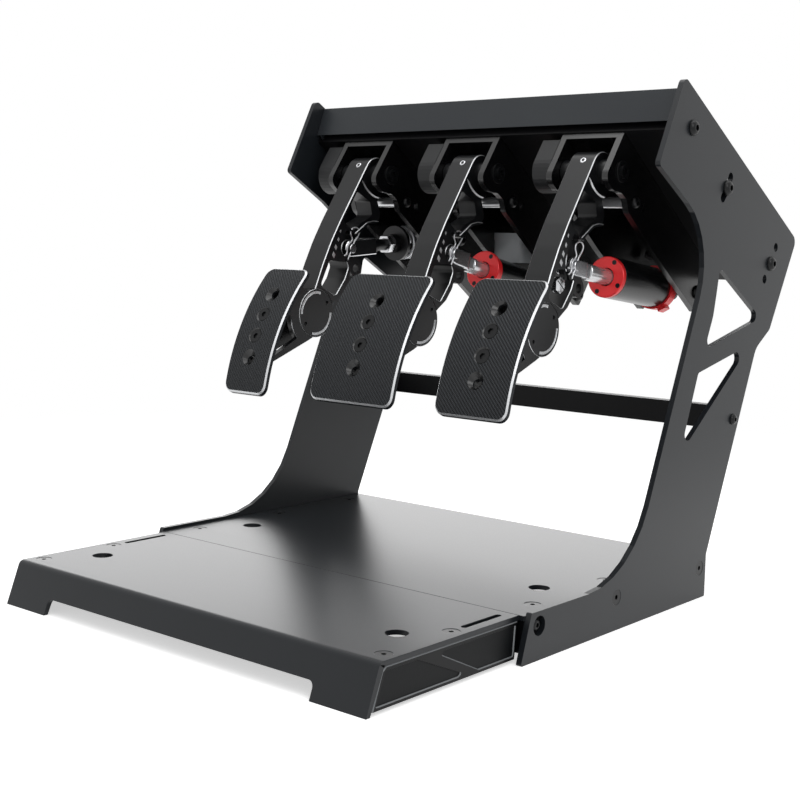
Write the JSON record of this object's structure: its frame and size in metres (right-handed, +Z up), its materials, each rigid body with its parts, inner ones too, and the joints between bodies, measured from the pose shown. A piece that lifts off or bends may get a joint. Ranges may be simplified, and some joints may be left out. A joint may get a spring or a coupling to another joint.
{
  "type": "sim racing pedal set",
  "caption": "Inverted sim racing pedal set: clutch, brake and throttle hang from a sloping deck between cut-out side plates, over a two-part heel plate.",
  "frame": {"origin": "on the floor under the middle of the overall box, midway between the side plates", "axes": "+X to the driver's right, +Y away from the driver, +Z up; the driver sits on the -Y side"},
  "size_m": [0.4488, 0.6254, 0.4671],
  "materials": {
    "powder_coat": "satin black powder coat on steel sheet",
    "black_anodised": "black anodised, bright cut edges",
    "black_plastic": "matt black moulded plastic",
    "grey_plastic": "satin grey moulded plastic",
    "black_screws": "black oxide socket screws",
    "bare_steel": "bare stainless and spring steel",
    "polished_steel": "ground and polished rod",
    "red_anodised": "red anodised"
  },
  "bodies": {
    "frame": {"side_plate_left": "powder_coat", "side_plate_right": "powder_coat", "heel_plate": "powder_coat", "heel_extension": "powder_coat", "heel_rails": "powder_coat", "extension_rails": "powder_coat", "extension_trims": "black_plastic", "heel_screws": "black_screws", "rear_cross_bar": "powder_coat", "front_valance": "powder_coat", "pedal_deck": "powder_coat", "frame_bolts": "black_screws", "control_box": "grey_plastic", "control_box_lid": "grey_plastic", "pivot_bearings": "bare_steel", "bracket_cross_bolts": "black_screws", "bracket_screws": "black_screws", "clutch_bracket": "black_anodised", "clutch_sensor_housing": "black_plastic", "brake_bracket": "black_anodised", "brake_sensor_housing": "black_plastic", "throttle_bracket": "black_anodised", "throttle_sensor_housing": "black_plastic"},
    "clutch_pedal": {"clutch_arm": "black_anodised", "clutch_pivot_shaft": "bare_steel", "clutch_pad_bracket": "black_anodised", "clutch_clamp_disc": "black_anodised", "clutch_pad": "black_anodised", "clutch_pad_screws": "black_screws"},
    "clutch_damper": {"clutch_cylinder": "black_anodised", "clutch_spring": "bare_steel"},
    "clutch_push_rod": {"clutch_clevis": "black_anodised", "clutch_rod": "black_anodised", "clutch_clevis_pin": "bare_steel", "clutch_r_clip": "bare_steel", "clutch_spring_nut": "bare_steel"},
    "brake_pedal": {"brake_arm": "black_anodised", "brake_pivot_shaft": "bare_steel", "brake_pad_bracket": "black_anodised", "brake_clamp_disc": "black_anodised", "brake_pad": "black_anodised", "brake_pad_screws": "black_screws"},
    "brake_damper": {"brake_cylinder": "black_anodised", "brake_collars": "red_anodised"},
    "brake_push_rod": {"brake_clevis": "bare_steel", "brake_rod": "polished_steel", "brake_clevis_pin": "bare_steel", "brake_r_clip": "bare_steel"},
    "throttle_pedal": {"throttle_arm": "black_anodised", "throttle_pivot_shaft": "bare_steel", "throttle_pad_bracket": "black_anodised", "throttle_clamp_disc": "black_anodised", "throttle_pad": "black_anodised", "throttle_pad_screws": "black_screws"},
    "throttle_damper": {"throttle_cylinder": "black_anodised", "throttle_collars": "red_anodised"},
    "throttle_push_rod": {"throttle_clevis": "bare_steel", "throttle_rod": "polished_steel", "throttle_clevis_pin": "bare_steel", "throttle_r_clip": "bare_steel"}
  },
  "joints": [
    {"name": "clutch_swing", "type": "hinge", "parent": "frame", "child": "clutch_pedal", "pos_m": [-0.1435, 0.07761, 0.38967], "axis": [1, 0, 0], "range_deg": [0, 14], "stiffness_Nm_per_rad": 60, "springref_deg": -8.59},
    {"name": "clutch_damper_tilt", "type": "hinge", "parent": "frame", "child": "clutch_damper", "pos_m": [-0.1435, 0.19561, 0.32617], "axis": [1, 0, 0], "range_deg": [0, 3.2]},
    {"name": "clutch_rod_slide", "type": "slide", "parent": "clutch_damper", "child": "clutch_push_rod", "axis": [0, 0.9971, 0.0759], "range_m": [0, 0.0187], "deforming": ["clutch_spring"]},
    {"name": "brake_swing", "type": "hinge", "parent": "frame", "child": "brake_pedal", "pos_m": [-0.0096, 0.07761, 0.38967], "axis": [1, 0, 0], "range_deg": [0, 8], "stiffness_Nm_per_rad": 400, "springref_deg": -1.72},
    {"name": "brake_damper_tilt", "type": "hinge", "parent": "frame", "child": "brake_damper", "pos_m": [-0.0096, 0.22561, 0.27167], "axis": [1, 0, 0], "range_deg": [0, 0.6]},
    {"name": "brake_rod_slide", "type": "slide", "parent": "brake_damper", "child": "brake_push_rod", "axis": [0, 0.9753, -0.2209], "range_m": [0, 0.0118]},
    {"name": "throttle_swing", "type": "hinge", "parent": "frame", "child": "throttle_pedal", "pos_m": [0.1267, 0.07761, 0.38967], "axis": [1, 0, 0], "range_deg": [0, 14], "stiffness_Nm_per_rad": 16, "springref_deg": -8.59},
    {"name": "throttle_damper_tilt", "type": "hinge", "parent": "frame", "child": "throttle_damper", "pos_m": [0.1267, 0.22761, 0.27987], "axis": [1, 0, 0], "range_deg": [0, 1]},
    {"name": "throttle_rod_slide", "type": "slide", "parent": "throttle_damper", "child": "throttle_push_rod", "axis": [0, 0.9905, -0.1375], "range_m": [0, 0.0222]}
  ],
  "couplings": [
    {"joint": "clutch_damper_tilt", "follows": "clutch_swing", "ratio": 0.22139},
    {"joint": "clutch_rod_slide", "follows": "clutch_swing", "m_per_rad": 0.075457},
    {"joint": "brake_damper_tilt", "follows": "brake_swing", "ratio": 0.053927},
    {"joint": "brake_rod_slide", "follows": "brake_swing", "m_per_rad": 0.083143},
    {"joint": "throttle_damper_tilt", "follows": "throttle_swing", "ratio": 0.0624},
    {"joint": "throttle_rod_slide", "follows": "throttle_swing", "m_per_rad": 0.089747}
  ]
}
